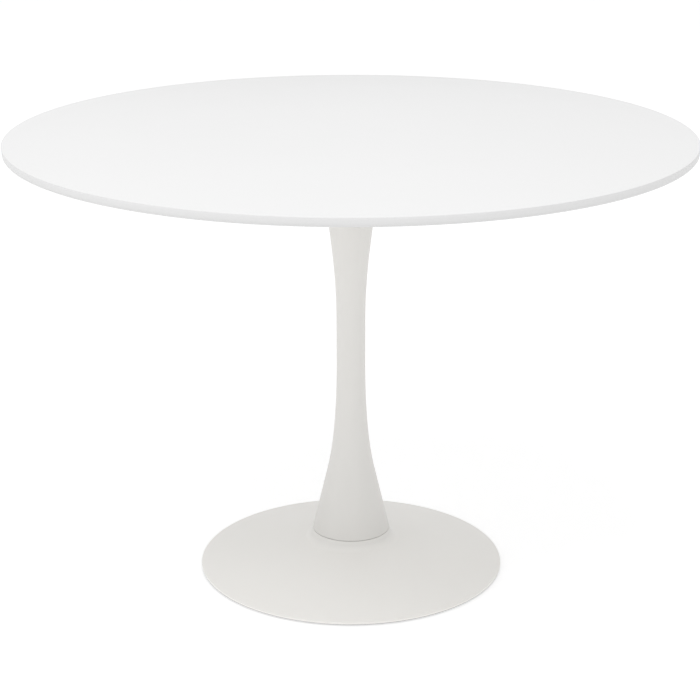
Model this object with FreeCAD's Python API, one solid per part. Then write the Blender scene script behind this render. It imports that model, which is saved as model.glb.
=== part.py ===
import FreeCAD, Part
import math
import os

os.makedirs("parts", exist_ok=True)

# A round dining table on one flared column and a domed foot. Millimetres, +Z up.
# The origin is on the floor, on the axis of the column.

# ---- Overall sizes ---------------------------------------------------------------------------
table_height = 740.0
tabletop_radius = 550.0
tabletop_thickness = 14.0
base_radius = 255.0

# ---- Tabletop --------------------------------------------------------------------------------
top_edge_round = 1.5
bottom_edge_round = 4.5
edge_draft = 1.2               # how far the edge leans in from top to bottom
insert_radius = 5.0
insert_length = 9.0
insert_hole_spare_depth = 1.0
screw_circle_radius = 160.0
screw_count = 8

# ---- Plate under the tabletop and its screws -------------------------------------------------
plate_radius = 180.0
plate_thickness = 4.0
plate_edge_chamfer = 0.8
screw_radius = 3.0             # M6
screw_hole_clearance = 0.3
screw_length = 12.0
screw_head_radius = 5.25
screw_head_height = 3.3
screw_head_round = 1.6
screw_key_size = 4.0           # hexagon across flats
screw_key_depth = 2.0
washer_radius = 6.0
washer_thickness = 1.6
hub_radius = 16.0
hub_length = 25.0
hub_thread_depth = 20.0
head_gasket_thickness = 1.0

# ---- Column ----------------------------------------------------------------------------------
column_foot_radius = 65.0
column_waist_radius = 23.9
column_wall = 2.0
foot_flare_angle = 13.35       # degrees off the vertical
head_flare_angle = 6.9
foot_blend_below = 66.0        # how far the curve from cone to waist reaches down and up
foot_blend_above = 122.0
head_flare_height = 428.0      # from the foot to where the head's cone would leave the waist
head_blend_below = 57.0
head_blend_above = 64.0
column_end_break = 0.5
column_ring_thickness = 8.0
foot_gasket_thickness = 1.0
foot_gasket_inset = 1.2

# ---- Foot ------------------------------------------------------------------------------------
rim_bottom_height = 2.0
rim_top_height = 5.5
rim_round = 1.8
shoulder_height = 48.4         # where the dome's cone and the neck's cone would meet
neck_rise = 13.1               # from there to the top of the neck
neck_fillet = 18.5
neck_top_round = 0.8
base_wall = 1.6
trim_thickness = 0.8
trim_tongue_width = 1.6
trim_tongue_height = 1.2
trim_round = 0.3

# ---- Ballast, pillar and tie rod -------------------------------------------------------------
ballast_bottom_height = 5.0
ballast_thickness = 15.0
ballast_rim_inset = 19.0
ballast_shell_gap = 0.5
ballast_corner_round = 1.0
boss_radius = 54.0
boss_draft = 2.0
boss_web_thickness = 12.0
recess_radius = 30.0
recess_depth = 18.0
pillar_radius = 48.0
pillar_wall = 5.0
pillar_head_thickness = 6.0
spigot_radius = 22.0
spigot_rise = 6.5              # above the neck's top
spigot_clearance = 0.2
rod_radius = 6.0               # M12
rod_hole_clearance = 0.5
rod_thread_spare = 5.0
rod_end_below_nut = 2.7
rod_end_chamfer = 1.0
nut_size = 18.0                # across flats
nut_height = 10.8
nut_chamfer_angle = 30.0
lock_washer_radius = 10.5
lock_washer_thickness = 2.5
lock_washer_slit = 1.5
rod_washer_radius = 22.0
rod_washer_thickness = 3.0

# ---- Levelling glides ------------------------------------------------------------------------
glide_count = 5
glide_rim_inset = 60.0
pad_radius = 17.0
pad_bottom_round = 1.2
pad_top_chamfer = 0.5
pad_key_hole_radius = 3.0
stem_radius = 4.0              # M8
stem_flange_radius = 6.5
stem_flange_bottom = 1.7
stem_flange_thickness = 1.8
stem_key_size = 4.0
stem_key_depth = 4.5
stem_end_chamfer = 0.8
stem_top_gap = 0.9
turning_clearance = 0.06
neck_clearance = 0.4
socket_radius = 6.0
socket_length = 9.0
socket_flange_radius = 8.0
socket_flange_thickness = 1.5

# ---- Heights and places worked out from the sizes above ---------------------------------------
tabletop_bottom = table_height - tabletop_thickness
plate_bottom = tabletop_bottom - plate_thickness
column_top = plate_bottom - head_gasket_thickness
neck_top = shoulder_height + neck_rise
column_foot = neck_top + foot_gasket_thickness
flare_tan = math.tan(math.radians(foot_flare_angle))
head_tan = math.tan(math.radians(head_flare_angle))
foot_flare_height = (column_foot_radius - column_waist_radius) / flare_tan
shoulder_radius = column_foot_radius + neck_rise * flare_tan
dome_tan = (shoulder_height - rim_top_height) / (base_radius - shoulder_radius)
dome_cos = math.cos(math.atan(dome_tan))
flare_cos = math.cos(math.radians(foot_flare_angle))
recess_top = ballast_bottom_height + recess_depth
boss_top = recess_top + boss_web_thickness
rod_hole_radius = rod_radius + rod_hole_clearance
rod_washer_bottom = recess_top - rod_washer_thickness
lock_washer_bottom = rod_washer_bottom - lock_washer_thickness
nut_bottom = lock_washer_bottom - nut_height
hub_bottom = plate_bottom - hub_length
spigot_hole_radius = spigot_radius + spigot_clearance
glide_circle_radius = base_radius - glide_rim_inset
stem_bore_radius = stem_radius + turning_clearance


# ---- Shapes that several pieces are made from --------------------------------------------------
def at(radius, height):
    """A point of an outline that is turned about the table's axis."""
    return FreeCAD.Vector(radius, 0, height)


def rounded_outline(corners):
    """Closed outline through corners (radius, height, rounding), with an arc at each rounded one."""
    edges = []
    ends = []
    for index, (radius, height, rounding) in enumerate(corners):
        corner = at(radius, height)
        to_last = (at(*corners[index - 1][:2]) - corner).normalize()
        to_next = (at(*corners[(index + 1) % len(corners)][:2]) - corner).normalize()
        if rounding <= 0:
            ends.append((corner, corner))
            continue
        half_angle = to_last.getAngle(to_next) / 2
        reach = rounding / math.tan(half_angle)
        bisector = (to_last + to_next).normalize()
        centre = corner + bisector * (rounding / math.sin(half_angle))
        start = corner + to_last * reach
        end = corner + to_next * reach
        edges.append(Part.Arc(start, centre - bisector * rounding, end).toShape())
        ends.append((start, end))
    for index, (_, leave) in enumerate(ends):
        arrive = ends[(index + 1) % len(ends)][0]
        edges.append(Part.LineSegment(leave, arrive).toShape())
    return edges


def turn(edges):
    """Solid made by turning a closed outline about the table's axis."""
    outline = Part.Wire(Part.sortEdges(edges)[0])
    solid = Part.Face(outline).revolve(FreeCAD.Vector(), FreeCAD.Vector(0, 0, 1), 360)
    return solid


def turned(*corners):
    """Turned solid from corners given as (radius, height) or (radius, height, rounding)."""
    return turn(rounded_outline([corner if len(corner) == 3 else (*corner, 0) for corner in corners]))


def ring(inner_radius, outer_radius, bottom, top):
    """Flat ring, or a disc where the inner radius is 0."""
    disc = Part.makeCylinder(outer_radius, top - bottom, at(0, bottom))
    if inner_radius > 0:
        disc = disc.cut(Part.makeCylinder(inner_radius, top - bottom, at(0, bottom)))
    return disc


def hexagon(across_flats, bottom, top):
    """Upright hexagonal prism."""
    corner_radius = across_flats / 2 / math.cos(math.radians(30))
    corners = []
    for side in range(7):
        angle = math.radians(60 * side)
        corners.append(FreeCAD.Vector(corner_radius * math.cos(angle), corner_radius * math.sin(angle), bottom))
    return Part.Face(Part.makePolygon(corners)).extrude(FreeCAD.Vector(0, 0, top - bottom))


def around(shape, count, circle_radius):
    """Copies of a shape made on the axis, spread evenly round a circle, the first one at the front."""
    copies = []
    for index in range(count):
        angle = math.radians(360 * index / count - 90)
        copy = shape.copy()
        copy.translate(FreeCAD.Vector(circle_radius * math.cos(angle), circle_radius * math.sin(angle), 0))
        copies.append(copy)
    return copies


# ---- Tabletop and its plate --------------------------------------------------------------------
def tabletop():
    """Fibreboard disc with blind holes for the threaded inserts."""
    board = turned(
        (0, tabletop_bottom),
        (tabletop_radius - edge_draft, tabletop_bottom, bottom_edge_round),
        (tabletop_radius, table_height, top_edge_round),
        (0, table_height),
    )
    hole = Part.makeCylinder(insert_radius, insert_length + insert_hole_spare_depth, at(0, tabletop_bottom))
    return board.cut(around(hole, screw_count, screw_circle_radius))


def tabletop_inserts():
    """Threaded inserts, flush with the underside."""
    insert = ring(screw_radius, insert_radius, tabletop_bottom, tabletop_bottom + insert_length)
    return Part.makeCompound(around(insert, screw_count, screw_circle_radius))


def mounting_plate():
    """Steel disc that spreads the column's load under the tabletop."""
    plate = turned(
        (0, plate_bottom),
        (plate_radius - plate_edge_chamfer, plate_bottom),
        (plate_radius, plate_bottom + plate_edge_chamfer),
        (plate_radius, tabletop_bottom),
        (0, tabletop_bottom),
    )
    hole = Part.makeCylinder(screw_radius + screw_hole_clearance, plate_thickness, at(0, plate_bottom))
    return plate.cut(around(hole, screw_count, screw_circle_radius))


def mounting_washers():
    """Flat washers under the screw heads."""
    hole_radius = screw_radius + screw_hole_clearance
    washer = ring(hole_radius, washer_radius, plate_bottom - washer_thickness, plate_bottom)
    return Part.makeCompound(around(washer, screw_count, screw_circle_radius))


def mounting_screws():
    """Button-head screws with a hexagon socket, driven up through the plate."""
    seat = plate_bottom - washer_thickness
    crown = seat - screw_head_height
    screw = turned(
        (0, crown),
        (screw_head_radius, crown, screw_head_round),
        (screw_head_radius, seat),
        (screw_radius, seat),
        (screw_radius, seat + screw_length),
        (0, seat + screw_length),
    )
    screw = screw.cut(hexagon(screw_key_size, crown, crown + screw_key_depth))
    return Part.makeCompound(around(screw, screw_count, screw_circle_radius))


def plate_hub():
    """Boss welded under the plate. It centres the column's head and takes the tie rod's thread."""
    hub = ring(0, hub_radius, hub_bottom, plate_bottom)
    return hub.cut(Part.makeCylinder(rod_radius, hub_thread_depth, at(0, hub_bottom)))


def column_head_gasket():
    """Plastic ring between the column's head and the plate."""
    return ring(hub_radius + spigot_clearance, column_radius(column_top) - column_wall, column_top, plate_bottom)


# ---- Column ------------------------------------------------------------------------------------
def column_radius(height):
    """Outer radius in the straight stretch of the cone at either end."""
    if height < column_foot + foot_flare_height:
        return column_foot_radius - (height - column_foot) * flare_tan
    return column_waist_radius + (height - column_foot - head_flare_height) * head_tan


def column_outline(inset):
    """The column's side from foot to head: cone, curve, straight waist, curve, cone."""
    waist = column_waist_radius - inset
    foot_corner = column_foot + foot_flare_height
    head_corner = column_foot + head_flare_height
    foot_curve = [
        at(column_radius(foot_corner - foot_blend_below) - inset, foot_corner - foot_blend_below),
        at(waist, foot_corner),
        at(waist, foot_corner + foot_blend_above),
    ]
    head_curve = [
        at(waist, head_corner - head_blend_below),
        at(waist, head_corner),
        at(column_radius(head_corner + head_blend_above) - inset, head_corner + head_blend_above),
    ]
    edges = []
    for poles in (foot_curve, head_curve):
        curve = Part.BezierCurve()
        curve.setPoles(poles)
        edges.append(curve.toShape())
    foot = at(column_radius(column_foot) - inset, column_foot)
    head = at(column_radius(column_top) - inset, column_top)
    for start, end in ((foot, foot_curve[0]), (foot_curve[2], head_curve[0]), (head_curve[2], head)):
        edges.append(Part.LineSegment(start, end).toShape())
    return edges, foot, head


def column_shell():
    """Steel tube, flared at both ends."""
    outside, outer_foot, outer_head = column_outline(0)
    inside, inner_foot, inner_head = column_outline(column_wall)
    closing = [
        Part.LineSegment(inner_foot, outer_foot).toShape(),
        Part.LineSegment(inner_head, outer_head).toShape(),
    ]
    shell = turn(outside + inside + closing)
    outer_edges = []
    for edge in shell.Edges:
        at_foot = abs(edge.BoundBox.ZMax - column_foot) < 0.01
        if at_foot and edge.BoundBox.XMax > column_foot_radius - 0.01:
            outer_edges.append(edge)
    return shell.makeFillet(column_end_break, outer_edges)


def column_end_ring(bottom, top, bore_radius):
    """Steel ring welded inside one end of the column, with the same taper as the wall."""
    return turned(
        (bore_radius, bottom),
        (column_radius(bottom) - column_wall, bottom),
        (column_radius(top) - column_wall, top),
        (bore_radius, top),
    )


def column_top_ring():
    """Ring in the head, a sliding fit on the hub."""
    return column_end_ring(column_top - column_ring_thickness, column_top, hub_radius + spigot_clearance)


def column_bottom_ring():
    """Ring in the foot, a sliding fit on the pillar's spigot."""
    return column_end_ring(column_foot, column_foot + column_ring_thickness, spigot_hole_radius)


def column_foot_gasket():
    """Dark rubber ring that shows as a thin line between the column and the neck."""
    return ring(spigot_hole_radius, column_foot_radius - foot_gasket_inset, neck_top, column_foot)


# ---- Foot --------------------------------------------------------------------------------------
def dome_height(radius, depth):
    """Height of the dome's cone at a radius, a given depth under its outer surface."""
    return rim_top_height + (base_radius - radius) * dome_tan - depth / dome_cos


def dome_radius(height, depth):
    """Radius at which the dome's cone, a given depth under its outer surface, has a given height."""
    return base_radius - (height + depth / dome_cos - rim_top_height) / dome_tan


def neck_radius(height, depth):
    """Radius of the neck's cone at a height, a given depth under its outer surface."""
    return column_foot_radius + (neck_top - height) * flare_tan - depth / flare_cos


def dome_corners(depth):
    """Corners of the foot's side at a given depth under its outer surface, from neck to rim."""
    run = base_radius - neck_radius(0, depth)
    shoulder = (rim_top_height + run * dome_tan - depth / dome_cos) / (1 - dome_tan * flare_tan)
    top = neck_top - depth
    rim = base_radius - depth
    return [
        (neck_radius(top, depth), top, max(neck_top_round - depth, 0)),
        (neck_radius(shoulder, depth), shoulder, neck_fillet + depth),
        (rim, dome_height(rim, depth), max(rim_round - depth, 0)),
    ]


def base_shell():
    """Spun steel dome with a short neck, turned in at the top to a flange that is clamped."""
    lip = rim_bottom_height + trim_thickness
    inside = dome_corners(base_wall)
    return turned(
        (spigot_hole_radius, neck_top - base_wall),
        (spigot_hole_radius, neck_top),
        *dome_corners(0),
        (base_radius, lip),
        (base_radius - base_wall, lip),
        *reversed(inside),
    )


def base_edge_trim():
    """Plastic strip under the rim, with a tongue that grips its inner side."""
    lip = rim_bottom_height + trim_thickness
    grip = base_radius - base_wall
    tongue = grip - trim_tongue_width
    return turned(
        (tongue, rim_bottom_height),
        (base_radius, rim_bottom_height, trim_round),
        (base_radius, lip),
        (grip, lip),
        (grip, lip + trim_tongue_height - trim_tongue_width * dome_tan),
        (tongue, lip + trim_tongue_height),
    )


# ---- Ballast, pillar and tie rod ---------------------------------------------------------------
def ballast_weight():
    """Cast-iron disc that follows the dome, with a boss for the pillar and a recess for the nut."""
    depth = base_wall + ballast_shell_gap
    bottom = ballast_bottom_height
    flat_top = bottom + ballast_thickness
    rim = base_radius - ballast_rim_inset
    casting = turned(
        (rod_hole_radius, recess_top),
        (recess_radius, recess_top, ballast_corner_round),
        (recess_radius, bottom),
        (rim, bottom),
        (rim, dome_height(rim, depth)),
        (dome_radius(flat_top, depth), flat_top),
        (boss_radius, flat_top, ballast_corner_round),
        (boss_radius - boss_draft, boss_top, ballast_corner_round),
        (rod_hole_radius, boss_top),
    )
    flange_seat = ring(0, socket_flange_radius, bottom, bottom + socket_flange_thickness)
    drilling = ring(0, socket_radius, bottom, flat_top)
    return casting.cut(around(flange_seat.fuse(drilling), glide_count, glide_circle_radius))


def base_pillar():
    """Turned spacer that carries the neck on the ballast. Its spigot centres the neck and column."""
    seat = neck_top - base_wall
    head_bottom = seat - pillar_head_thickness
    return turned(
        (pillar_radius - pillar_wall, boss_top),
        (pillar_radius, boss_top),
        (pillar_radius, seat),
        (spigot_radius, seat),
        (spigot_radius, neck_top + spigot_rise),
        (rod_hole_radius, neck_top + spigot_rise),
        (rod_hole_radius, head_bottom),
        (pillar_radius - pillar_wall, head_bottom),
    )


def tie_rod():
    """Threaded rod from the nut under the ballast up into the hub."""
    foot = nut_bottom - rod_end_below_nut
    head = hub_bottom + hub_thread_depth - rod_thread_spare
    return turned(
        (0, foot),
        (rod_radius - rod_end_chamfer, foot),
        (rod_radius, foot + rod_end_chamfer),
        (rod_radius, head - rod_end_chamfer),
        (rod_radius - rod_end_chamfer, head),
        (0, head),
    )


def tie_rod_washer():
    """Thick washer in the ballast's recess."""
    return ring(rod_hole_radius, rod_washer_radius, rod_washer_bottom, recess_top)


def tie_rod_lock_washer():
    """Spring washer, slit on one side."""
    washer = ring(rod_hole_radius, lock_washer_radius, lock_washer_bottom, rod_washer_bottom)
    corner = FreeCAD.Vector(0, -lock_washer_slit / 2, lock_washer_bottom)
    return washer.cut(Part.makeBox(lock_washer_radius, lock_washer_slit, lock_washer_thickness, corner))


def tie_rod_nut():
    """Hexagon nut with both ends chamfered."""
    corner_radius = nut_size / 2 / math.cos(math.radians(30))
    chamfer = (corner_radius - nut_size / 2) * math.tan(math.radians(nut_chamfer_angle))
    blank = turned(
        (rod_radius, nut_bottom),
        (nut_size / 2, nut_bottom),
        (corner_radius, nut_bottom + chamfer),
        (corner_radius, lock_washer_bottom - chamfer),
        (nut_size / 2, lock_washer_bottom),
        (rod_radius, lock_washer_bottom),
    )
    return blank.common(hexagon(nut_size, nut_bottom, lock_washer_bottom))


# ---- Levelling glides --------------------------------------------------------------------------
def glide_sockets():
    """Flanged threaded sockets, pressed into the ballast from below."""
    bottom = ballast_bottom_height
    socket = turned(
        (stem_bore_radius, bottom),
        (socket_flange_radius, bottom),
        (socket_flange_radius, bottom + socket_flange_thickness),
        (socket_radius, bottom + socket_flange_thickness),
        (socket_radius, bottom + socket_length),
        (stem_bore_radius, bottom + socket_length),
    )
    return Part.makeCompound(around(socket, glide_count, glide_circle_radius))


def glide_pads():
    """Nylon pads. Each holds its stem's flange in a groove and has a hole for the hexagon key."""
    groove_radius = stem_flange_radius + turning_clearance
    groove_top = stem_flange_bottom + stem_flange_thickness
    neck_hole_radius = stem_radius + neck_clearance
    pad = turned(
        (pad_key_hole_radius, 0),
        (pad_radius, 0, pad_bottom_round),
        (pad_radius, ballast_bottom_height - pad_top_chamfer),
        (pad_radius - pad_top_chamfer, ballast_bottom_height),
        (neck_hole_radius, ballast_bottom_height),
        (neck_hole_radius, groove_top),
        (groove_radius, groove_top),
        (groove_radius, stem_flange_bottom),
        (pad_key_hole_radius, stem_flange_bottom),
    )
    return around(pad, glide_count, glide_circle_radius)


def glide_stems():
    """Steel screws that turn in the pads, with a hexagon socket in the flange."""
    flange_top = stem_flange_bottom + stem_flange_thickness
    top = dome_height(glide_circle_radius + stem_radius, base_wall) - stem_top_gap
    stem = turned(
        (0, stem_flange_bottom),
        (stem_flange_radius, stem_flange_bottom),
        (stem_flange_radius, flange_top),
        (stem_radius, flange_top),
        (stem_radius, top - stem_end_chamfer),
        (stem_radius - stem_end_chamfer, top),
        (0, top),
    )
    stem = stem.cut(hexagon(stem_key_size, stem_flange_bottom, stem_flange_bottom + stem_key_depth))
    return around(stem, glide_count, glide_circle_radius)


# ---- Write one file per piece ------------------------------------------------------------------
single_pieces = [
    tabletop,
    tabletop_inserts,
    mounting_plate,
    mounting_washers,
    mounting_screws,
    plate_hub,
    column_head_gasket,
    column_shell,
    column_top_ring,
    column_bottom_ring,
    column_foot_gasket,
    base_shell,
    base_edge_trim,
    ballast_weight,
    base_pillar,
    tie_rod,
    tie_rod_washer,
    tie_rod_lock_washer,
    tie_rod_nut,
    glide_sockets,
]
pieces = {make.__name__: make() for make in single_pieces}
for number, (pad, stem) in enumerate(zip(glide_pads(), glide_stems()), start=1):
    pieces[f"glide_pad_{number}"] = pad
    pieces[f"glide_stem_{number}"] = stem
for name, shape in pieces.items():
    shape.exportStep(f"parts/{name}.step")
    print(f"{name}: {len(shape.Solids)} solid(s), {shape.Volume / 1000:.1f} cm3, valid {shape.isValid()}")
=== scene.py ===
import math

import bmesh
import bpy
from mathutils import Matrix, Vector
from mathutils.geometry import interpolate_bezier


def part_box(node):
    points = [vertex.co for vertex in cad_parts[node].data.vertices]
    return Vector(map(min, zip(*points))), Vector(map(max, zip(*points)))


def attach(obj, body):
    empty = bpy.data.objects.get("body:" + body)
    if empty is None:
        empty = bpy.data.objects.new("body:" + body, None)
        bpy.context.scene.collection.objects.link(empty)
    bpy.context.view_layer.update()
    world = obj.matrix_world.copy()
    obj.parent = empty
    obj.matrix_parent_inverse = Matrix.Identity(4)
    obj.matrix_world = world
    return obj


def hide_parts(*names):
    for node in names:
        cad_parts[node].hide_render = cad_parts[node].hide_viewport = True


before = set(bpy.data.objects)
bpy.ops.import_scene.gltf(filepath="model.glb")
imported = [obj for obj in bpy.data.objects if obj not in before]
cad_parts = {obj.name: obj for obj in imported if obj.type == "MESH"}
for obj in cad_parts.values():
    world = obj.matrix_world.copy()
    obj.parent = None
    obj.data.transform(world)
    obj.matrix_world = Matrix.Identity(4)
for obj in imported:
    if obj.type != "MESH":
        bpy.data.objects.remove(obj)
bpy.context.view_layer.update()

# ---- Camera ------------------------------------------------------------------------------------
# A long lens at chest height, three metres in front of the table and almost square on to it,
# looking down at an angle that shows the whole face of the top.
camera_place = Vector((0, -2.9691, 1.3463))
camera_lens = 97.16
camera_pitch = math.radians(18.071)
camera_turn = math.radians(-0.030)
camera_roll = math.radians(-0.053)
film_width = 36

camera = bpy.data.objects.new("camera", bpy.data.cameras.new("camera"))
bpy.context.collection.objects.link(camera)
camera.data.sensor_width = film_width
camera.data.lens = camera_lens
camera.matrix_world = (
    Matrix.Translation(camera_place)
    @ Matrix.Rotation(-camera_turn, 4, "Z")
    @ Matrix.Rotation(math.pi / 2 - camera_pitch, 4, "X")
    @ Matrix.Rotation(camera_roll, 4, "Z")
)
bpy.context.scene.camera = camera
bpy.context.scene.view_settings.view_transform = "Standard"
bpy.context.scene.view_settings.look = "None"

# ---- Floor and lights --------------------------------------------------------------------------
# A plain white studio: one wide floor, white all round, a large soft key high at the front left, and
# two much weaker lights low down, at the left and in front.
floor_reach = 40
floor_white = (0.7, 0.7, 0.7, 1)
floor_roughness = 0.9
floor_glow = 0.41
sky_strength = 0.80
lit_point = Vector((0, 0, 0.4))


def studio_floor(reach):
    """Square of white floor under the table, which glows a little so that no shadow turns grey."""
    form = bmesh.new()
    bmesh.ops.create_grid(form, x_segments=1, y_segments=1, size=reach)
    mesh = bpy.data.meshes.new("studio_floor")
    form.to_mesh(mesh)
    form.free()
    floor = bpy.data.objects.new("studio_floor", mesh)
    bpy.context.collection.objects.link(floor)
    paint = bpy.data.materials.new("studio_white")
    paint.use_nodes = True
    shader = paint.node_tree.nodes["Principled BSDF"]
    shader.inputs["Base Color"].default_value = floor_white
    shader.inputs["Roughness"].default_value = floor_roughness
    shader.inputs["Emission Color"].default_value = (1, 1, 1, 1)
    shader.inputs["Emission Strength"].default_value = floor_glow
    mesh.materials.append(paint)


def soft_box(name, place, size, watts):
    """Square soft light that faces the middle of the table."""
    light = bpy.data.lights.new(name, "AREA")
    light.shape = "SQUARE"
    light.size = size
    light.energy = watts
    lamp = bpy.data.objects.new(name, light)
    bpy.context.collection.objects.link(lamp)
    lamp.location = place
    lamp.rotation_euler = (lit_point - lamp.location).to_track_quat("-Z", "Y").to_euler()


studio_floor(floor_reach)
soft_box("key", place=(-1.0, -1.7, 6.0), size=3.5, watts=106)
soft_box("side", place=(-3.6, -1.8, 0.9), size=2.4, watts=12)
soft_box("front", place=(0.9, -3.3, 1.0), size=2.0, watts=6)
sky = bpy.data.worlds.new("studio")
sky.use_nodes = True
sky.node_tree.nodes["Background"].inputs["Color"].default_value = (1, 1, 1, 1)
sky.node_tree.nodes["Background"].inputs["Strength"].default_value = sky_strength
bpy.context.scene.world = sky

# ---- Tabletop ----------------------------------------------------------------------------------
# Disc of fibreboard, routed to a fine round along its upper edge and a softer one below, then
# sprayed all over with white satin lacquer. Screwed to the plate from below.


class Level:
    """A number or colour that varies over a surface. Arithmetic on it adds the Math nodes."""

    def __init__(self, finish, socket):
        self.finish = finish
        self.socket = socket

    def maths(self, operation, first, second):
        sockets = {0: first, 1: second}
        return self.finish.node("ShaderNodeMath", {"operation": operation}, sockets)["Value"]

    def __add__(self, other):
        return self.maths("ADD", self, other)

    def __rsub__(self, other):
        return self.maths("SUBTRACT", other, self)

    def __mul__(self, other):
        return self.maths("MULTIPLY", self, other)

    __radd__ = __add__
    __rmul__ = __mul__


class Finish:
    """A surface finish: one shader with its fixed values, and nodes for what varies over it."""

    def __init__(self, name, fixed):
        self.material = bpy.data.materials.new(name)
        self.material.use_nodes = True
        self.shader = self.material.node_tree.nodes["Principled BSDF"]
        self.give(self.shader, fixed)
        self.place = self.node("ShaderNodeTexCoord", {}, {})["Object"]

    def give(self, node, sockets):
        """Sets each socket, named or numbered, to a value or links a level to it."""
        for key, value in sockets.items():
            if isinstance(key, int):
                socket = node.inputs[key]
            else:
                socket = next(s for s in node.inputs if s.enabled and s.name == key)
            if isinstance(value, Level):
                self.material.node_tree.links.new(value.socket, socket)
            else:
                socket.default_value = value

    def node(self, kind, settings, sockets):
        """Adds a node, its settings first and then its sockets, and returns its outputs by name."""
        made = self.material.node_tree.nodes.new(kind)
        for setting, value in settings.items():
            setattr(made, setting, value)
        self.give(made, sockets)
        return {output.name: Level(self, output) for output in made.outputs if output.enabled}

    def radius(self):
        """Distance from the table's axis, in metres."""
        sockets = {0: self.place, 1: (1, 1, 0)}
        flat = self.node("ShaderNodeVectorMath", {"operation": "MULTIPLY"}, sockets)["Vector"]
        return self.node("ShaderNodeVectorMath", {"operation": "LENGTH"}, {0: flat})["Value"]

    def height(self):
        """Height above the floor, in metres."""
        return self.node("ShaderNodeSeparateXYZ", {}, {"Vector": self.place})["Z"]

    def cloud(self, size, detail=2.0, roughness=0.5, place=None):
        """Soft random mottle, 0 to 1, with lumps of about the given size in metres."""
        sockets = {"Vector": place or self.place, "Scale": 1 / size}
        sockets.update({"Detail": detail, "Roughness": roughness})
        return self.node("ShaderNodeTexNoise", {}, sockets)["Fac"]

    def spread(self, level, low, high):
        """The level pulled apart, so that low becomes 0 and high becomes 1."""
        sockets = {"Value": level, "From Min": low, "From Max": high}
        return self.node("ShaderNodeMapRange", {"clamp": True}, sockets)["Result"]

    def tint(self, amount, first, second):
        """From the first colour to the second as amount goes from 0 to 1."""
        sockets = {"Factor": amount, "A": first, "B": second}
        return self.node("ShaderNodeMix", {"data_type": "RGBA"}, sockets)["Result"]

    def relief(self, height, depth):
        """Normals for a surface whose height level stands depth metres high."""
        sockets = {"Height": height, "Strength": 1.0, "Distance": depth}
        return self.node("ShaderNodeBump", {}, sockets)["Normal"]

    def vary(self, sockets):
        """Joins varying levels to the shader."""
        self.give(self.shader, sockets)

    def on(self, piece):
        """Puts the finish on a piece, in place of whatever it had."""
        piece.data.materials.clear()
        piece.data.materials.append(self.material)


def white(lightness, warmth=0.0):
    """A white a little off neutral, as a linear colour."""
    return (lightness, lightness * (1 - warmth / 3), lightness * (1 - warmth), 1)


def half_width(node):
    """Radius of a round piece, from its box."""
    low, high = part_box(node)
    return (high[0] - low[0]) / 2


def finished_piece(name, form, crease=35):
    """Makes an object from a bmesh, smooth but for edges that turn by more than the crease angle."""
    mesh = bpy.data.meshes.new(name)
    form.to_mesh(mesh)
    form.free()
    mesh.shade_smooth()
    mesh.set_sharp_from_angle(angle=math.radians(crease))
    piece = bpy.data.objects.new(name, mesh)
    bpy.context.collection.objects.link(piece)
    return piece


def turned_form(corners, steps, segments=5):
    """Shape turned on the table's axis. A corner is radius, height and how far its rounding reaches;
    the outline is closed unless it starts and ends on the axis."""
    form = bmesh.new()
    points = [form.verts.new((radius, 0, height)) for radius, height, _ in corners]
    for start, end in zip(points, points[1:]):
        form.edges.new((start, end))
    if corners[0][0] > 0:
        form.edges.new((points[-1], points[0]))
    for point, (_, _, reach) in zip(points, corners):
        if reach > 0:
            bmesh.ops.bevel(
                form,
                geom=[point],
                offset=reach,
                offset_type="OFFSET",
                segments=segments,
                profile=0.5,
                affect="VERTICES",
                material=-1,
            )
    bmesh.ops.spin(
        form,
        geom=form.verts[:] + form.edges[:],
        axis=(0, 0, 1),
        cent=(0, 0, 0),
        angle=2 * math.pi,
        steps=steps,
        use_merge=True,
    )
    bmesh.ops.remove_doubles(form, verts=form.verts, dist=1e-6)
    bmesh.ops.recalc_face_normals(form, faces=form.faces)
    return form


top_edge_round = 0.0015
lower_edge_round = 0.0036
edge_draft = 0.0012
edge_band_start = 0.0016
edge_band_full = 0.0004
# heights and radii of the painted shade on the lower round
lower_shade_top = 0.003
lower_shade_full = 0.002
lower_shade_inner = 0.0065
lower_shade_outer = 0.0050
lacquer_relief = 0.00002

board_low, board_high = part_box("tabletop")
board_radius = half_width("tabletop")

lacquer = Finish("white_lacquer", {"Coat Weight": 0.15, "Coat Roughness": 0.2, "IOR": 1.5})
# the edge band is more matt than the faces, and its colour is painted greyer as shade on the rim's
# side; the lower round is painted greyer still, as painted shade under the rim
from_axis = lacquer.radius()
edge_band = lacquer.spread(from_axis, board_radius - edge_band_start, board_radius - edge_band_full)
lower_round_shade = lacquer.spread(lacquer.height(), board_high[2] - lower_shade_top, board_low[2] + lower_shade_full)
lower_round_shade *= lacquer.spread(from_axis, board_radius - lower_shade_inner, board_radius - lower_shade_outer)
drift = lacquer.cloud(0.35)
fibres = lacquer.cloud(0.0012, detail=4.0)
peel = lacquer.cloud(0.0025, detail=1.0)
face_white = lacquer.tint(drift, white(0.85), white(0.83))
# painted shade: the edge band's white and the lower round's white are darker than the faces' white
edge_shade_white = lacquer.tint(fibres, white(0.71), white(0.68))
lower_shade_white = lacquer.tint(fibres, white(0.64), white(0.60))
lacquer.vary({
    "Base Color": lacquer.tint(lower_round_shade, lacquer.tint(edge_band, face_white, edge_shade_white), lower_shade_white),
    "Roughness": 0.36 + 0.08 * lacquer.cloud(0.05, detail=4.0) + 0.12 * edge_band,
    "Normal": lacquer.relief(peel + 0.4 * fibres * edge_band, lacquer_relief),
})

board_outline = [
    (0, board_low[2], 0),
    (board_radius - edge_draft, board_low[2], lower_edge_round),
    (board_radius, board_high[2], top_edge_round),
    (0, board_high[2], 0),
]
board = finished_piece("tabletop_board", turned_form(board_outline, steps=288))
lacquer.on(board)
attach(board, "table")
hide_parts("tabletop")
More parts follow.
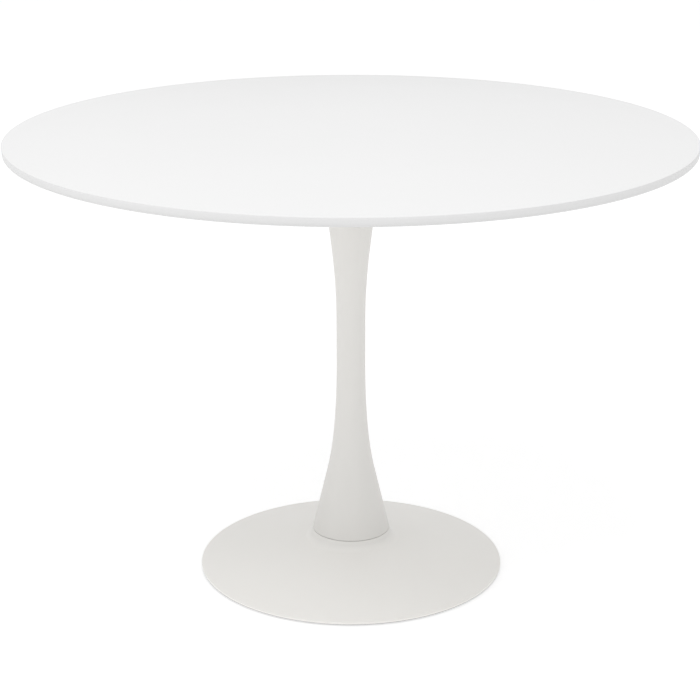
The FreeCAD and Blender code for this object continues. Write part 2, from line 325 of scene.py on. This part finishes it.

# ---- Column ------------------------------------------------------------------------------------
# One steel tube drawn out to a flare at both ends, then powder coated in a faintly warm white, its colour
# painted darker than the foot's as painted shade. It stands on the neck of the foot, and the tie rod inside
# pulls it down.
foot_flare_angle = 13.35
head_flare_angle = 6.9
foot_flare = math.tan(math.radians(foot_flare_angle))
head_flare = math.tan(math.radians(head_flare_angle))
waist_radius = 0.0239
column_wall = 0.002
column_end_break = 0.0005
foot_curve_reach = (0.066, 0.122)
head_curve_reach = (0.057, 0.064)
head_curve_height = 0.428
foot_curve_points = 24
head_curve_points = 14
column_shade_heights = (0.1, 0.7)


def powder_coat(name, lower_lightness, upper_lightness, shade_heights):
    """Baked powder: a satin skin with a fine orange peel and a trace of speckle. Its colour goes from one
    lightness to the other between the two shade heights, which is painted shade."""
    coat = Finish(name, {"IOR": 1.5, "Coat Weight": 0.0})
    warmth = 0.05
    aged_warmth = 0.057
    aged_share = 0.985
    speckle_lightness = lower_lightness * 0.8
    speckle_strength = 0.12
    relief_depth = 0.00005
    drift = coat.cloud(0.16)
    speckle = coat.spread(coat.cloud(0.0012, detail=0.0), 0.68, 0.76)
    # painted shade: the colour's lightness shifts with height between the two shade heights
    rise = coat.spread(coat.height(), *shade_heights)
    fresh = coat.tint(rise, white(lower_lightness, warmth), white(upper_lightness, warmth))
    aged = coat.tint(
        rise,
        white(lower_lightness * aged_share, aged_warmth),
        white(upper_lightness * aged_share, aged_warmth),
    )
    clean = coat.tint(drift, fresh, aged)
    peel = coat.cloud(0.0022, detail=1.5)
    grain = coat.cloud(0.0006, detail=1.0)
    coat.vary({
        "Base Color": coat.tint(speckle * speckle_strength, clean, white(speckle_lightness, warmth)),
        "Roughness": 0.40 + 0.08 * coat.cloud(0.03, detail=4.0),
        "Normal": coat.relief(peel * 0.75 + grain * 0.25, relief_depth),
    })
    return coat


def soft_bend(start, corner, end, points):
    """Points on the curve that leaves the start towards the corner and arrives at the end from it."""
    pull = 2 / 3
    return interpolate_bezier(start, start.lerp(corner, pull), end.lerp(corner, pull), end, points)


def column_side(foot, head, foot_radius, inset):
    """The column's side from foot to head, moved in by the inset."""
    low_corner = foot + (foot_radius - waist_radius) / foot_flare
    high_corner = foot + head_curve_height
    waist = waist_radius - inset
    foot_bend = soft_bend(
        Vector((waist + foot_curve_reach[0] * foot_flare, 0, low_corner - foot_curve_reach[0])),
        Vector((waist, 0, low_corner)),
        Vector((waist, 0, low_corner + foot_curve_reach[1])),
        foot_curve_points,
    )
    head_bend = soft_bend(
        Vector((waist, 0, high_corner - head_curve_reach[0])),
        Vector((waist, 0, high_corner)),
        Vector((waist + head_curve_reach[1] * head_flare, 0, high_corner + head_curve_reach[1])),
        head_curve_points,
    )
    ends = [(foot_radius - inset, foot), (waist + (head - high_corner) * head_flare, head)]
    return [ends[0], *((point.x, point.z) for point in foot_bend + head_bend), ends[1]]


column_low, column_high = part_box("column_shell")
column_foot_radius = half_width("column_shell")
outside = column_side(column_low[2], column_high[2], column_foot_radius, 0)
inside = column_side(column_low[2], column_high[2], column_foot_radius, column_wall)
column_outline = [(*outside[0], column_end_break)]
column_outline += [(*point, 0) for point in outside[1:] + inside[::-1]]
column = finished_piece("column_tube", turned_form(column_outline, steps=144, segments=3))
# painted shade: the column's coat is painted darker than the foot's, and a shade lighter upwards
column_coat = powder_coat("column_powder_coat", 0.695, 0.70, column_shade_heights)
column_coat.on(column)
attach(column, "table")
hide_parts("column_shell")

# ---- Foot --------------------------------------------------------------------------------------
# Sheet steel spun over a former: a shallow cone that sweeps up into a short neck and turns in at the
# top to a flange, clamped between column and pillar. Powder coated inside and out; over the neck the
# colour is painted darker, down to the column's tone, as painted shade.
rim_top_height = 0.0055
shoulder_height = 0.0484
neck_fillet = 0.0185
neck_top_round = 0.0008
rim_round = 0.0018
foot_wall = 0.0016
rim_reach_share = 0.8
flange_hole_radius = 0.0222
neck_shade_heights = (0.046, 0.055)
foot_low, foot_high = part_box("base_shell")
foot_radius = half_width("base_shell")
neck_top = foot_high[2]
shoulder_radius = column_foot_radius + (neck_top - shoulder_height) * foot_flare
cone_slope = (shoulder_height - rim_top_height) / (foot_radius - shoulder_radius)
cone_angle = math.atan(cone_slope)
neck_angle = math.pi / 2 - math.atan(foot_flare)


def foot_side(depth):
    """Corners of the foot's side from neck to rim, a given depth under its outer surface."""
    neck_radius = column_foot_radius - depth / math.sin(neck_angle)
    run = foot_radius - neck_radius - neck_top * foot_flare
    drop = depth / math.cos(cone_angle)
    shoulder = (rim_top_height + run * cone_slope - drop) / (1 - foot_flare * cone_slope)
    rim_height = rim_top_height + depth * cone_slope - drop
    fillet_reach = (neck_fillet + depth) * math.tan((neck_angle - cone_angle) / 2)
    return [
        (neck_radius + depth * foot_flare, neck_top - depth, max(neck_top_round - depth, 0)),
        (neck_radius + (neck_top - shoulder) * foot_flare, shoulder, fillet_reach),
        (foot_radius - depth, rim_height, max(rim_round - depth, 0) * rim_reach_share),
    ]


foot_outline = [
    (flange_hole_radius, neck_top - foot_wall, 0),
    (flange_hole_radius, neck_top, 0),
    *foot_side(0),
    (foot_radius, foot_low[2], 0),
    (foot_radius - foot_wall, foot_low[2], 0),
    *reversed(foot_side(foot_wall)),
]
foot = finished_piece("foot_shell", turned_form(foot_outline, steps=256, segments=12))
# painted shade: lighter on the cone, darker over the neck between the neck shade heights
foot_coat = powder_coat("foot_powder_coat", 0.85, 0.74, neck_shade_heights)
foot_coat.on(foot)
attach(foot, "table")
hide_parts("base_shell")

# ---- Seal between column and foot --------------------------------------------------------------
# Thin moulded plastic ring, set in a little from the column's edge, which shows as a fine dark line.
seal_low, seal_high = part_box("column_foot_gasket")
seal_radius = half_width("column_foot_gasket")
seal_edge_round = 0.0003
seal_outline = [
    (flange_hole_radius, seal_low[2], 0),
    (seal_radius, seal_low[2], seal_edge_round),
    (seal_radius, seal_high[2], seal_edge_round),
    (flange_hole_radius, seal_high[2], 0),
]
seal = finished_piece("foot_seal", turned_form(seal_outline, steps=144))


def moulded_plastic(name, lightness, warmth):
    """Plain moulded plastic with a fine spark-eroded texture."""
    plastic = Finish(name, {"IOR": 1.47})
    patch_share = 0.93
    texture_depth = 0.00004
    grain = plastic.cloud(0.0005, detail=2.0)
    drift = plastic.cloud(0.03)
    plastic.vary({
        "Base Color": plastic.tint(drift, white(lightness, warmth), white(lightness * patch_share, warmth)),
        "Roughness": 0.5 + 0.15 * plastic.cloud(0.004),
        "Normal": plastic.relief(grain, texture_depth),
    })
    return plastic


seal_plastic = moulded_plastic("seal_plastic", 0.45, 0.03)
seal_plastic.on(seal)
seal_plastic.on(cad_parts["column_head_gasket"])
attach(seal, "table")
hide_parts("column_foot_gasket")

# ---- Strip under the rim -----------------------------------------------------------------------
# Extruded plastic strip pushed up into the rim. Its foot covers the sheet's cut edge and its tongue
# grips the inner side, so that the table can be slid without marking the floor.
strip_low, strip_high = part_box("base_edge_trim")
strip_tongue = 0.0016
strip_round = 0.0003
grip_radius = foot_radius - foot_wall
strip_outline = [
    (grip_radius - strip_tongue, strip_low[2], 0),
    (foot_radius, strip_low[2], strip_round),
    (foot_radius, foot_low[2], 0),
    (grip_radius, foot_low[2], 0),
    (grip_radius, strip_high[2] - strip_tongue * cone_slope, 0),
    (grip_radius - strip_tongue, strip_high[2], 0),
]
strip = finished_piece("rim_strip", turned_form(strip_outline, steps=256, segments=3))
strip_plastic = moulded_plastic("strip_plastic", 0.42, 0.02)
strip_plastic.on(strip)
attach(strip, "table")
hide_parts("base_edge_trim")

# ---- Plate, hub and screws under the top -------------------------------------------------------
# Steel plate coated with the column, its hub turned from bar and welded on. Zinc-plated button-head
# screws with washers hold it to brass inserts in the board.


def plated_steel(name):
    """Bright zinc plating: a bluish metal, unevenly passivated and finely scratched."""
    plate = Finish(name, {"Metallic": 1.0})
    scratch_depth = 0.00001
    cloudy = plate.spread(plate.cloud(0.006, detail=3.0), 0.35, 0.7)
    scratches = plate.cloud(0.0004, detail=2.0)
    plate.vary({
        "Base Color": plate.tint(cloudy, (0.58, 0.61, 0.66, 1), (0.72, 0.71, 0.66, 1)),
        "Roughness": 0.26 + 0.2 * plate.cloud(0.002, detail=3.0),
        "Normal": plate.relief(scratches, scratch_depth),
    })
    return plate


def turned_metal(name, dark, light):
    """Metal left as the lathe cut it, with fine rings round the table's axis."""
    metal = Finish(name, {"Metallic": 1.0})
    ring_depth = 0.00003
    section = metal.node("ShaderNodeCombineXYZ", {}, {"X": metal.radius(), "Z": metal.height()})["Vector"]
    rings = metal.cloud(0.0004, detail=2.0, place=section)
    metal.vary({
        "Base Color": metal.tint(metal.cloud(0.01, detail=3.0), dark, light),
        "Roughness": 0.3 + 0.25 * rings,
        "Normal": metal.relief(rings, ring_depth),
    })
    return metal


zinc = plated_steel("zinc_plated_steel")
steel = turned_metal("turned_steel", (0.42, 0.42, 0.43, 1), (0.56, 0.55, 0.54, 1))
brass = turned_metal("turned_brass", (0.60, 0.42, 0.18, 1), (0.74, 0.56, 0.28, 1))
for node in ("mounting_screws", "mounting_washers"):
    zinc.on(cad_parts[node])
for node in ("plate_hub", "column_top_ring", "column_bottom_ring", "base_pillar"):
    steel.on(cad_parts[node])
brass.on(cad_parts["tabletop_inserts"])
column_coat.on(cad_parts["mounting_plate"])

# ---- Ballast -----------------------------------------------------------------------------------
# Sand-cast iron disc, dipped in thin black paint that follows the grain of the sand and wears grey
# on its high spots. Drilled from below for the five glide sockets.
sand_depth = 0.0006
black_paint = (0.030, 0.030, 0.032, 1)
bare_iron = (0.16, 0.155, 0.15, 1)
iron = Finish("cast_iron", {"Metallic": 0.0, "IOR": 1.6})
sand = iron.cloud(0.0016, detail=4.0, roughness=0.65)
lumps = iron.cloud(0.02, detail=2.0)
worn = iron.spread(sand + 0.5 * lumps, 0.86, 0.98)
iron.vary({
    "Base Color": iron.tint(worn, black_paint, bare_iron),
    "Roughness": 0.72 - 0.2 * worn,
    "Metallic": 0.6 * worn,
    "Normal": iron.relief(sand + 0.8 * lumps, sand_depth),
})
iron.on(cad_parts["ballast_weight"])

# ---- Tie rod, nut and washers ------------------------------------------------------------------
# M12 rod with a rolled thread at each end. The nut in the ballast's recess draws the whole table
# together through a thick washer and a spring washer.
rod_radius = half_width("tie_rod")
rod_low, rod_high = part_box("tie_rod")
rod_pitch = 0.00175
rod_thread_depth = 0.0009
rod_low_thread = 0.045
rod_high_thread = 0.030
rod_end_taper = 0.0008
ridge_sink = 0.0001
ridge_steps = 24
rod_steps = 48


def thread_ridge(form, root_radius, crest_radius, pitch, bottom, top):
    """Winds the ridge of a right-hand thread round the axis, a closed solid that stands on the core."""
    turns = math.floor((top - bottom) / pitch - 1)
    half_base = 0.46 * pitch
    half_crest = 0.08 * pitch
    middle = bottom + half_base
    corners = [(root_radius, middle - half_base), (crest_radius, middle - half_crest)]
    corners += [(crest_radius, middle + half_crest), (root_radius, middle + half_base)]
    points = [form.verts.new((radius, 0, height)) for radius, height in corners]
    sides = [form.edges.new((points[index - 1], points[index])) for index in range(4)]
    wound = bmesh.ops.spin(
        form,
        geom=points + sides,
        axis=(0, 0, 1),
        cent=(0, 0, 0),
        dvec=(0, 0, pitch / ridge_steps),
        angle=2 * math.pi * turns,
        steps=ridge_steps * turns,
    )
    ends = sides + [item for item in wound["geom_last"] if isinstance(item, bmesh.types.BMEdge)]
    bmesh.ops.holes_fill(form, edges=ends, sides=4)


core_radius = rod_radius - rod_thread_depth
low_thread_end = rod_low[2] + rod_low_thread
high_thread_end = rod_high[2] - rod_high_thread
rod_form = turned_form(
    [
        (0, rod_low[2], 0),
        (core_radius - rod_end_taper, rod_low[2], 0),
        (core_radius, rod_low[2] + rod_end_taper, 0),
        (core_radius, low_thread_end, 0),
        (rod_radius, low_thread_end + rod_thread_depth, 0),
        (rod_radius, high_thread_end - rod_thread_depth, 0),
        (core_radius, high_thread_end, 0),
        (core_radius, rod_high[2] - rod_end_taper, 0),
        (core_radius - rod_end_taper, rod_high[2], 0),
        (0, rod_high[2], 0),
    ],
    steps=rod_steps,
)
ridge_root = core_radius - ridge_sink
thread_ridge(rod_form, ridge_root, rod_radius, rod_pitch, rod_low[2] + rod_end_taper, low_thread_end)
thread_ridge(rod_form, ridge_root, rod_radius, rod_pitch, high_thread_end, rod_high[2] - rod_end_taper)
bmesh.ops.recalc_face_normals(rod_form, faces=rod_form.faces)
rod = finished_piece("threaded_tie_rod", rod_form)
zinc.on(rod)
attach(rod, "table")
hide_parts("tie_rod")
for node in ("tie_rod_nut", "tie_rod_washer", "tie_rod_lock_washer"):
    zinc.on(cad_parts[node])

# ---- Levelling glides --------------------------------------------------------------------------
# Five nylon pads, each snapped over the flange of an M8 steel screw that winds in and out of a
# socket in the ballast. A hexagon key through the pad's centre hole turns the screw.
pad_steps = 96
pad_grip_every = 4
pad_grip_depth = 0.025
pad_side_share = 0.93
pad_bottom_round = 0.0012
pad_top_round = 0.0005
pad_grooves = (0.0070, 0.0100, 0.0130)
pad_groove_depth = 0.0004
pad_groove_mouth = 0.0004
pad_groove_floor = 0.0002
key_hole_radius = 0.003
key_hole_round = 0.0003
pad_neck_radius = 0.0044
flange_groove_radius = 0.00656
stem_radius = 0.004
stem_pitch = 0.00125
stem_thread_depth = 0.00065
stem_end_taper = 0.0007
flange_radius = 0.0065
flange_thickness = 0.0018
flange_steps = 48
key_sides = 6
key_size = 0.004
key_depth = 0.0045
nylon = moulded_plastic("white_nylon", 0.72, 0.04)


def pad_form(bottom, top, radius, flange_bottom):
    """Pad on the axis: ringed underneath, a stepped hole for the screw, grips round its side."""
    groove_top = flange_bottom + flange_thickness
    groove_floor = bottom + pad_groove_depth
    corners = [(key_hole_radius, bottom, key_hole_round)]
    for groove in pad_grooves:
        corners += [
            (groove - pad_groove_mouth, bottom, 0),
            (groove - pad_groove_floor, groove_floor, 0),
            (groove + pad_groove_floor, groove_floor, 0),
            (groove + pad_groove_mouth, bottom, 0),
        ]
    corners += [
        (radius, bottom, pad_bottom_round),
        (radius, top, pad_top_round),
        (pad_neck_radius, top, 0),
        (pad_neck_radius, groove_top, 0),
        (flange_groove_radius, groove_top, 0),
        (flange_groove_radius, flange_bottom, 0),
        (key_hole_radius, flange_bottom, 0),
    ]
    form = turned_form(corners, steps=pad_steps, segments=4)
    grips = []
    for point in form.verts:
        step = round(math.atan2(point.co.y, point.co.x) / (2 * math.pi) * pad_steps)
        if point.co.xy.length > radius * pad_side_share and step % pad_grip_every == 0:
            grips.append(point)
    bmesh.ops.scale(form, vec=(1 - pad_grip_depth, 1 - pad_grip_depth, 1), verts=grips)
    return form


def grow(form, loop, size, rise):
    """Draws a loop of edges on, widened by size and raised by rise, and returns the new loop."""
    drawn = bmesh.ops.extrude_edge_only(form, edges=loop)["geom"]
    points = [item for item in drawn if isinstance(item, bmesh.types.BMVert)]
    bmesh.ops.scale(form, vec=(size, size, 1), verts=points)
    bmesh.ops.translate(form, vec=(0, 0, rise), verts=points)
    return [item for item in drawn if isinstance(item, bmesh.types.BMEdge) and item.is_boundary]


def stem_form(bottom, top, radius):
    """Screw on the axis: key socket, flange, core and thread, each drawn on from the last."""
    form = bmesh.new()
    core = radius - stem_thread_depth
    corner_radius = key_size / 2 / math.cos(math.pi / key_sides)
    bmesh.ops.create_circle(form, cap_ends=True, segments=key_sides, radius=corner_radius)
    bmesh.ops.translate(form, vec=(0, 0, bottom + key_depth), verts=form.verts)
    mouth = grow(form, form.edges[:], 1, -key_depth)
    cuts = flange_steps // key_sides - 1
    split = bmesh.ops.subdivide_edges(form, edges=mouth, cuts=cuts)["geom_split"]
    mouth = [item for item in split if isinstance(item, bmesh.types.BMEdge) and item.is_boundary]
    rim = bmesh.ops.create_circle(form, cap_ends=False, segments=flange_steps, radius=flange_radius)
    disc = rim["verts"]
    bmesh.ops.translate(form, vec=(0, 0, bottom), verts=disc)
    edge = list({side for point in disc for side in point.link_edges})
    bmesh.ops.bridge_loops(form, edges=mouth + edge)
    edge = grow(form, edge, 1, flange_thickness)
    edge = grow(form, edge, core / flange_radius, 0)
    edge = grow(form, edge, 1, top - stem_end_taper - bottom - flange_thickness)
    edge = grow(form, edge, 1 - stem_end_taper / core, stem_end_taper)
    bmesh.ops.holes_fill(form, edges=edge, sides=flange_steps)
    thread_bottom = bottom + flange_thickness
    thread_ridge(form, core - ridge_sink, radius, stem_pitch, thread_bottom, top - stem_end_taper)
    bmesh.ops.recalc_face_normals(form, faces=form.faces)
    return form


glide_count = sum(node.startswith("glide_pad_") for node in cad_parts)
for number in range(1, glide_count + 1):
    pad_low, pad_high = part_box(f"glide_pad_{number}")
    stem_low, stem_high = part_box(f"glide_stem_{number}")
    centre = ((pad_low[0] + pad_high[0]) / 2, (pad_low[1] + pad_high[1]) / 2, 0)
    pad_radius = half_width(f"glide_pad_{number}")
    form = pad_form(pad_low[2], pad_high[2], pad_radius, stem_low[2])
    bmesh.ops.translate(form, vec=centre, verts=form.verts)
    pad = finished_piece(f"floor_pad_{number}", form)
    nylon.on(pad)
    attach(pad, f"glide_{number}")
    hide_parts(f"glide_pad_{number}")
    form = stem_form(stem_low[2], stem_high[2], stem_radius)
    bmesh.ops.translate(form, vec=centre, verts=form.verts)
    stem = finished_piece(f"floor_screw_{number}", form)
    zinc.on(stem)
    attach(stem, f"glide_screw_{number}")
    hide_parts(f"glide_stem_{number}")
zinc.on(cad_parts["glide_sockets"])
